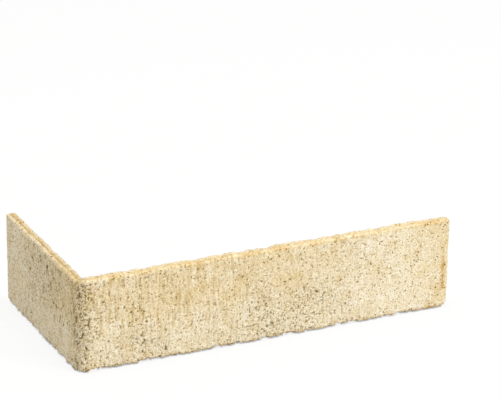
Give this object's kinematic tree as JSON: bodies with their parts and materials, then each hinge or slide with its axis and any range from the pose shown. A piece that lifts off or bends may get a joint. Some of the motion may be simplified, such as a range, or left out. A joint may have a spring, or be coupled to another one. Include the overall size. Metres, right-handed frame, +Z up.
{
  "type": "corner brick slip",
  "caption": "Thin L-shaped facing slip with a sanded cream face and hand-rounded edges that wraps the outside corner of a wall to look like a whole brick.",
  "frame": {"origin": "under the middle of the slip's bounding box, on the level of its lower bed edge", "axes": "+X along the stretcher leg from the corner to its free end, +Y along the header leg from the corner to its free end, +Z up through the height of the face"},
  "size_m": [0.21, 0.1, 0.05],
  "materials": {
    "slip_body": "matt, sanded"
  },
  "bodies": {
    "root": {"corner_slip": "slip_body"}
  },
  "joints": []
}
